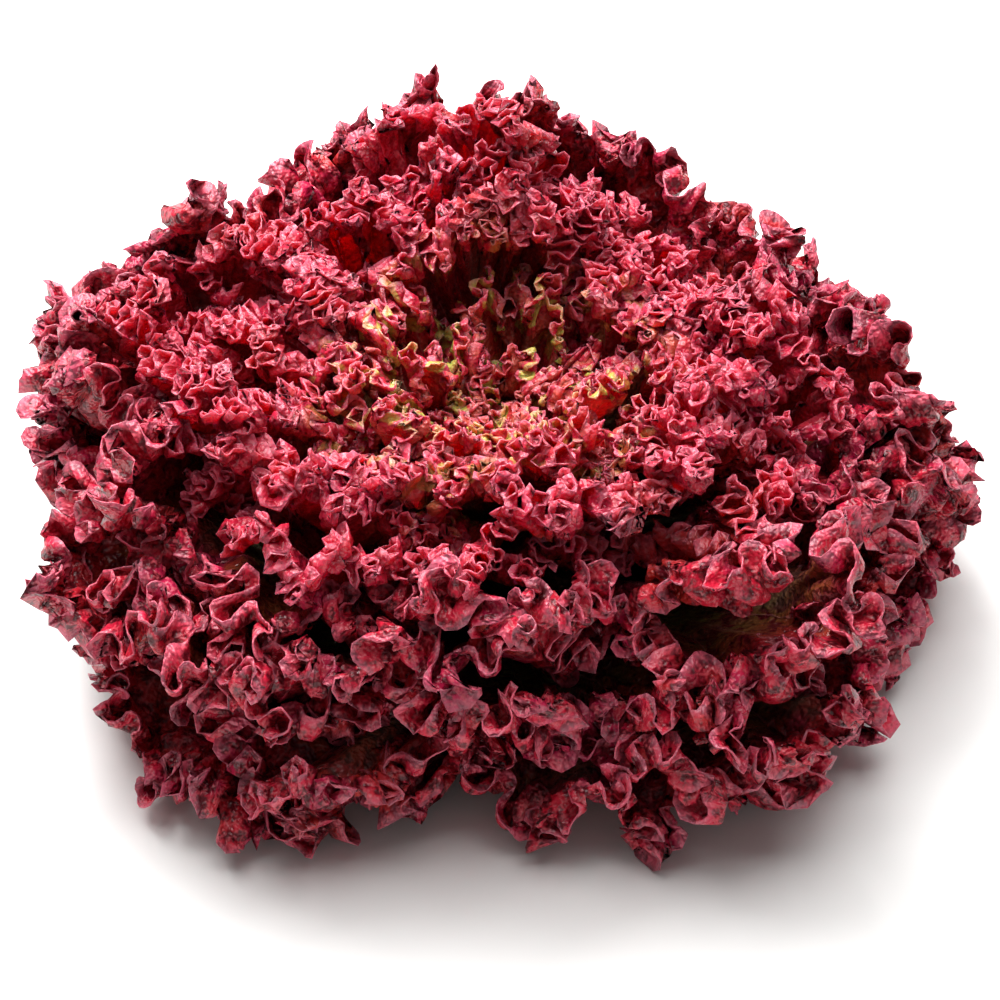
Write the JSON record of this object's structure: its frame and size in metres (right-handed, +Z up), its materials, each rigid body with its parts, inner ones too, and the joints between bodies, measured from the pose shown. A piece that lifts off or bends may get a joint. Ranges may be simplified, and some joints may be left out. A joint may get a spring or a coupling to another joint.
{
  "type": "lollo rosso lettuce",
  "caption": "Whole head of frilly red loose-leaf lettuce, cut at the root, its leaves in nested whorls round a short stem.",
  "frame": {"origin": "centre of the cut face at the foot of the stem, on the surface that the head stands on", "axes": "+Z up through the heart of the head; -Y is the front, towards the picture's camera; +X is the picture's right"},
  "size_m": [0.2923, 0.2669, 0.1426],
  "materials": {
    "red_leaf": "satin",
    "pale_stem": "satin"
  },
  "bodies": {
    "root": {"stem": "pale_stem", "leaf_01": "red_leaf", "leaf_02": "red_leaf", "leaf_03": "red_leaf", "leaf_04": "red_leaf", "leaf_05": "red_leaf", "leaf_06": "red_leaf", "leaf_07": "red_leaf", "leaf_08": "red_leaf", "leaf_09": "red_leaf", "leaf_10": "red_leaf", "leaf_11": "red_leaf", "leaf_12": "red_leaf", "leaf_13": "red_leaf", "leaf_14": "red_leaf", "leaf_15": "red_leaf", "leaf_16": "red_leaf", "leaf_17": "red_leaf", "leaf_18": "red_leaf", "leaf_19": "red_leaf", "leaf_20": "red_leaf", "leaf_21": "red_leaf", "leaf_22": "red_leaf", "leaf_23": "red_leaf", "leaf_24": "red_leaf", "leaf_25": "red_leaf", "leaf_26": "red_leaf", "leaf_27": "red_leaf", "leaf_28": "red_leaf", "leaf_29": "red_leaf", "leaf_30": "red_leaf", "leaf_31": "red_leaf", "leaf_32": "red_leaf", "leaf_33": "red_leaf", "leaf_34": "red_leaf", "leaf_35": "red_leaf", "leaf_36": "red_leaf", "leaf_37": "red_leaf", "leaf_38": "red_leaf", "leaf_39": "red_leaf", "leaf_40": "red_leaf", "leaf_41": "red_leaf", "leaf_42": "red_leaf", "leaf_43": "red_leaf", "leaf_44": "red_leaf", "leaf_45": "red_leaf", "leaf_46": "red_leaf", "leaf_47": "red_leaf", "leaf_48": "red_leaf", "leaf_49": "red_leaf", "leaf_50": "red_leaf", "leaf_51": "red_leaf", "leaf_52": "red_leaf", "leaf_53": "red_leaf", "leaf_54": "red_leaf", "leaf_55": "red_leaf", "leaf_56": "red_leaf", "leaf_57": "red_leaf"}
  },
  "joints": []
}
